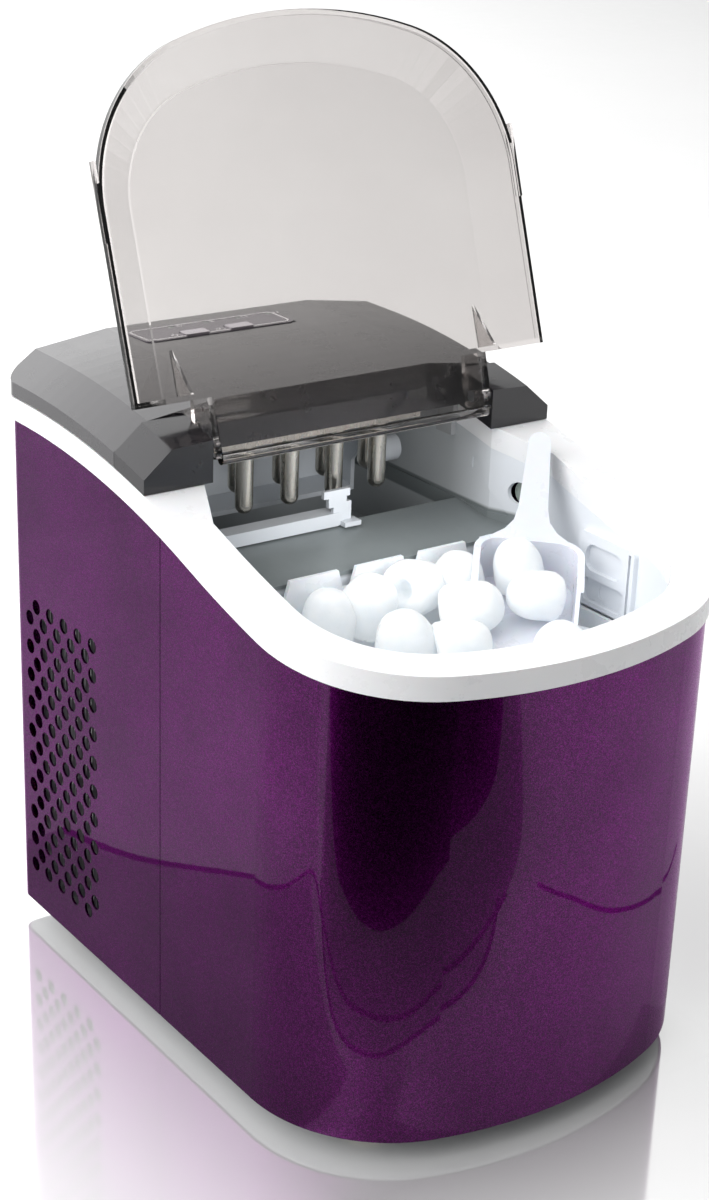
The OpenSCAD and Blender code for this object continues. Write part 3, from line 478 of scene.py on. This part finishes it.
# each piece: offset from the top of the basket's rear wall, the way its dome points, size
HEAP = [
    ((-0.041, -0.017, -0.016), (0.1, 0.1, 1.0), 1.0),
    ((-0.019, -0.020, -0.012), (0.2, -0.3, 0.9), 1.05),
    ((0.011, -0.018, -0.010), (0.9, 0.35, -0.15), 1.05),
    ((0.034, -0.021, -0.008), (-0.5, -0.3, 0.7), 0.92),
    ((0.024, -0.047, -0.014), (0.5, -0.6, 0.3), 1.04),
    ((-0.022, -0.053, -0.020), (-0.1, 0.1, 1.0), 1.08),
    ((0.002, -0.066, -0.022), (0.9, -0.3, 0.1), 1.0),
    ((-0.048, -0.046, -0.036), (-0.5, 0.2, 0.8), 1.0),
    ((-0.064, -0.022, -0.034), (0.7, 0.5, 0.3), 0.95),
    ((0.041, -0.093, -0.024), (-0.3, 0.2, 1.0), 1.05),
    ((-0.030, -0.082, -0.044), (0.8, 0.2, 0.5), 1.0),
    ((0.076, -0.070, -0.040), (0.2, -0.9, 0.2), 0.9),
    ((0.066, -0.020, -0.040), (-0.7, 0.2, 0.5), 1.0),
]
SCOOPED = [
    ((0.059, -0.036, -0.002), (-0.25, 0.1, 1.0), 0.92),
    ((0.053, -0.057, -0.010), (-0.9, 0.3, 0.15), 0.92),
]
for index, (offset, direction, size) in enumerate(HEAP):
    place = clear_of_walls(BACK + Vector(offset), 0.0145 * size)
    ice_piece("ice_%02d" % index, place, facing(direction), size, index, "basket")
for index, (offset, direction, size) in enumerate(SCOOPED):
    place = BACK + Vector(offset)
    ice_piece("ice_scoop_%02d" % index, place, facing(direction), size, index + 40, "scoop")
# a layer of pieces under the heap, in rows
COLUMNS, ROWS = 6, 5
PITCH_X, PITCH_Y = 0.0265, 0.0235
for index in range(COLUMNS * ROWS):
    column, row = index % COLUMNS, index // COLUMNS
    offset = Vector(((column - (COLUMNS - 1) / 2) * PITCH_X, -0.022 - row * PITCH_Y, -0.054))
    lean = (math.sin(index * 2.4), math.cos(index * 1.7), 0.6 * math.sin(index * 0.9))
    place = clear_of_walls(BACK + offset, 0.0165)
    ice_piece("ice_low_%02d" % index, place, facing(lean), 0.92, index + 60, "basket")


# ------------------------------------------------------------ floor and light
# the floor mirrors the machine near its foot and turns plain further out
NEAR_GLOSS, FAR_GLOSS, GLOSS_REACH = 0.62, 0.08, 0.15
FLOOR_HALF = 9
g = Graph("floor")
g.color(g.ramp(g.noise(2.5, 4), [(0.3, (0.96, 0.96, 0.962)), (0.7, (0.975, 0.975, 0.975))]))
foot_lo, foot_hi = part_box("base_pan")
spot_on = g.node("ShaderNodeSeparateXYZ")
g.link(g.coord.outputs["Object"], spot_on.inputs["Vector"])
gaps = []
for axis, k in (("X", 0), ("Y", 1)):
    middle, half = (foot_lo[k] + foot_hi[k]) / 2, (foot_hi[k] - foot_lo[k]) / 2
    away = g.math("ABSOLUTE", g.math("SUBTRACT", spot_on.outputs[axis], middle), 0)
    gaps.append(g.math("POWER", g.math("MAXIMUM", g.math("SUBTRACT", away, half), 0.0), 2.0))
reach = g.math("SQRT", g.math("ADD", gaps[0], gaps[1]), 0)
g.link(g.rng(reach, NEAR_GLOSS, FAR_GLOSS, 0.0, GLOSS_REACH), g.bsdf.inputs["Metallic"])
g.rough(g.rng(g.noise(35, 4), 0.05, 0.09))
corners = [(x * FLOOR_HALF, y * FLOOR_HALF, 0) for x, y in ((-1, -1), (1, -1), (1, 1), (-1, 1))]
floor = mesh_object("floor", corners, [(0, 1, 2, 3)], g.mat, False)


def studio_card(name, outline, tone, height):
    """A grey studio card lying beside the machine; the floor under it stays lit."""
    card = Graph(name)
    card.color(card.ramp(card.noise(6, 2), [(0.3, (tone * 0.9,) * 3), (0.7, (tone * 1.1,) * 3)]))
    card.set(Roughness=1.0, Specular_IOR_Level=0.0)
    below = card.node("ShaderNodeNewGeometry")
    clear = card.node("ShaderNodeBsdfTransparent")
    mix = card.node("ShaderNodeMixShader")
    card.link(below.outputs["Backfacing"], mix.inputs["Fac"])
    card.link(card.bsdf.outputs["BSDF"], mix.inputs[1])
    card.link(clear.outputs["BSDF"], mix.inputs[2])
    card.link(mix.outputs["Shader"], card.out.inputs["Surface"])
    turn = sum(a[0] * b[1] - b[0] * a[1] for a, b in zip(outline, outline[1:] + outline[:1]))
    verts = [(x, y, height) for x, y in (outline if turn > 0 else outline[::-1])]
    ob = mesh_object(name, verts, [tuple(range(len(verts)))], card.mat, False)
    ob.visible_camera = False
    ob.visible_transmission = False
    ob.visible_shadow = False
    return ob


def ribbon(points, width):
    """Outline of a strip of this width along a run of points."""
    left, right = [], []
    for i, point in enumerate(points):
        a = Vector(points[max(0, i - 1)])
        b = Vector(points[min(len(points) - 1, i + 1)])
        side = Vector((a.y - b.y, b.x - a.x)).normalized() * width / 2
        left.append(tuple(Vector(point) + side))
        right.append(tuple(Vector(point) - side))
    return left + right[::-1]


def rounded(points, steps=6):
    """A smooth run of points passing through these."""
    run = [Vector(p) for p in [points[0]] + points + [points[-1]]]
    out = []
    for a, b, c, d in zip(run, run[1:], run[2:], run[3:]):
        for k in range(steps):
            t = k / steps
            out.append(tuple(b + (c - a) * t / 2 + (a * 2 - b * 5 + c * 4 - d) * t * t / 2
                             + (b * 3 - a - c * 3 + d) * t * t * t / 2))
    return out + [tuple(run[-1])]


# edges on the floor, in metres: a grey strip, a loop round the machine and the far dark card; the points are
# a scratch program's results, rounded to about 5 mm, for the photograph's bands mirrored onto the floor
STRIP = rounded([(-0.36, -0.13), (-0.22, -0.15), (-0.155, -0.19), (-0.105, -0.24), (-0.005, -0.31),
                 (0.05, -0.42), (0.12, -0.60)])
BEHIND = [(-0.18, 0.225), (-0.20, 0.17), (-0.25, 0.11), (-0.315, 0.025), (-0.37, -0.09)]
BEFORE = [(-0.32, -0.135), (-0.23, -0.175), (-0.18, -0.215), (-0.11, -0.265), (-0.025, -0.325),
          (0.045, -0.375)]
BESIDE = [(0.10, -0.365), (0.145, -0.315), (0.18, -0.26), (0.225, -0.20), (0.26, -0.16), (0.30, -0.09)]
DARK = rounded([(-0.60, -0.17), (-0.39, -0.185), (-0.32, -0.215), (-0.24, -0.275), (-0.14, -0.37),
                (-0.03, -0.46), (0.05, -0.52), (0.09, -0.62)])
FAR = [(0.30, -2.2), (-1.6, -2.2), (-1.15, -0.24)]
FRONT = [(-0.10, -0.17), (0.125, -0.165), (0.125, 0.15), (3, 0.9), (3, -3), (-0.4, -3)]
SIDE = [(-0.124, -0.16), (-0.124, 3), (-3, 3), (-3, -0.25), (-0.5, -0.10)]
LEFT = rounded(BEHIND) + [(-0.16, -0.16), (-0.124, -0.10), (-0.124, 0.225)]
MIDDLE = rounded(BEFORE + [(0.10, -0.45), (0.14, -0.60)])
LINE_W = 0.006
# each card: name, outline, how pale it is, height over the floor
CARDS = [
    ("card_front", FRONT, 0.78, 0.0001),
    ("card_side", SIDE, 0.74, 0.0002),
    ("card_left", LEFT, 0.42, 0.0004),
    ("card_near", STRIP + FAR, 0.44, 0.0005),
    ("card_mid", MIDDLE + FAR, 0.32, 0.0007),
    ("card_black", DARK + FAR, 0.005, 0.0010),
    ("line_loop", ribbon(rounded(BEHIND + BEFORE), LINE_W), 0.10, 0.0012),
    ("line_strip", ribbon(STRIP[:-8], 0.005), 0.12, 0.0012),
    ("line_right", ribbon(rounded(BESIDE), LINE_W), 0.10, 0.0012),
]
cards = [studio_card(*card) for card in CARDS]

# one large soft light behind and to the left, painted into a white studio sky; seen directly it is plain
world = bpy.data.worlds.new("studio")
bpy.context.scene.world = world
world.use_nodes = True
sky = world.node_tree
way = sky.nodes.new("ShaderNodeTexCoord")
toward = sky.nodes.new("ShaderNodeVectorMath")
toward.operation = "DOT_PRODUCT"
toward.inputs[1].default_value = Vector((-0.45, 0.72, 0.53)).normalized()
glow = sky.nodes.new("ShaderNodeMapRange")
glow.interpolation_type = "SMOOTHSTEP"
glow.inputs["From Min"].default_value = 0.05
glow.inputs["From Max"].default_value = 1.0
glow.inputs["To Min"].default_value = 0.26
glow.inputs["To Max"].default_value = 2.25
sky.links.new(way.outputs["Generated"], toward.inputs[0])
sky.links.new(toward.outputs["Value"], glow.inputs["Value"])
seen = sky.nodes.new("ShaderNodeLightPath")
plain = sky.nodes.new("ShaderNodeMix")
plain.inputs["B"].default_value = 1.0
sky.links.new(seen.outputs["Is Camera Ray"], plain.inputs["Factor"])
sky.links.new(glow.outputs["Result"], plain.inputs["A"])
sky.links.new(plain.outputs["Result"], sky.nodes["Background"].inputs["Strength"])
sky.nodes["Background"].inputs["Color"].default_value = (1, 1, 1, 1)

sun_data = bpy.data.lights.new("overhead", "SUN")
sun_data.energy = 1.8
sun_data.angle = math.radians(50)
sun = bpy.data.objects.new("overhead", sun_data)
bpy.context.scene.collection.objects.link(sun)
sun.visible_glossy = False
sun.rotation_euler = Vector((1.0, 0.12, -0.66)).to_track_quat("-Z", "Y").to_euler()


def fill(name, power, size, spread, offset, travel):
    """A small soft light over the basket, seen by nothing but the surfaces that it lights."""
    data = bpy.data.lights.new(name, "AREA")
    data.energy = power
    data.size = size
    data.spread = math.radians(spread)
    lamp = bpy.data.objects.new(name, data)
    bpy.context.scene.collection.objects.link(lamp)
    lamp.visible_glossy = False
    lamp.visible_camera = False
    lamp.location = BACK + Vector(offset)
    lamp.rotation_euler = Vector(travel).to_track_quat("-Z", "Y").to_euler()


fill("fill_basket", 0.07, 0.2, 110, (-0.02, -0.11, 0.26), (0.02, 0.13, -0.26))
fill("fill_throat", 0.038, 0.06, 90, (0.0, -0.07, 0.045), (0.0, 1.0, -0.02))
bpy.context.scene.view_settings.view_transform = "Standard"

# --------------------------------------------------------------------- camera
CAM_AZ, CAM_EL, CAM_ROLL = math.radians(-36.41), math.radians(22.12), math.radians(2.13)
CAM_DIST = 1.06908
CAM_AIM = Vector((-0.00164, 0.01593, 0.20942))
flat = math.cos(CAM_EL)
back = Vector((math.sin(CAM_AZ) * flat, -math.cos(CAM_AZ) * flat, math.sin(CAM_EL)))
right = (-back).cross(Vector((0, 0, 1))).normalized()
up = right.cross(-back)
cam_x = right * math.cos(CAM_ROLL) + up * math.sin(CAM_ROLL)
cam_y = up * math.cos(CAM_ROLL) - right * math.sin(CAM_ROLL)
cam_data = bpy.data.cameras.new("camera")
cam_data.lens = 64.05
cam_data.sensor_width = 36
cam_data.shift_x = -0.0013
cam = bpy.data.objects.new("camera", cam_data)
bpy.context.scene.collection.objects.link(cam)
spot = CAM_AIM + back * CAM_DIST
cam.matrix_world = Matrix(((cam_x.x, cam_y.x, back.x, spot.x), (cam_x.y, cam_y.y, back.y, spot.y),
                           (cam_x.z, cam_y.z, back.z, spot.z), (0, 0, 0, 1)))
bpy.context.scene.camera = cam
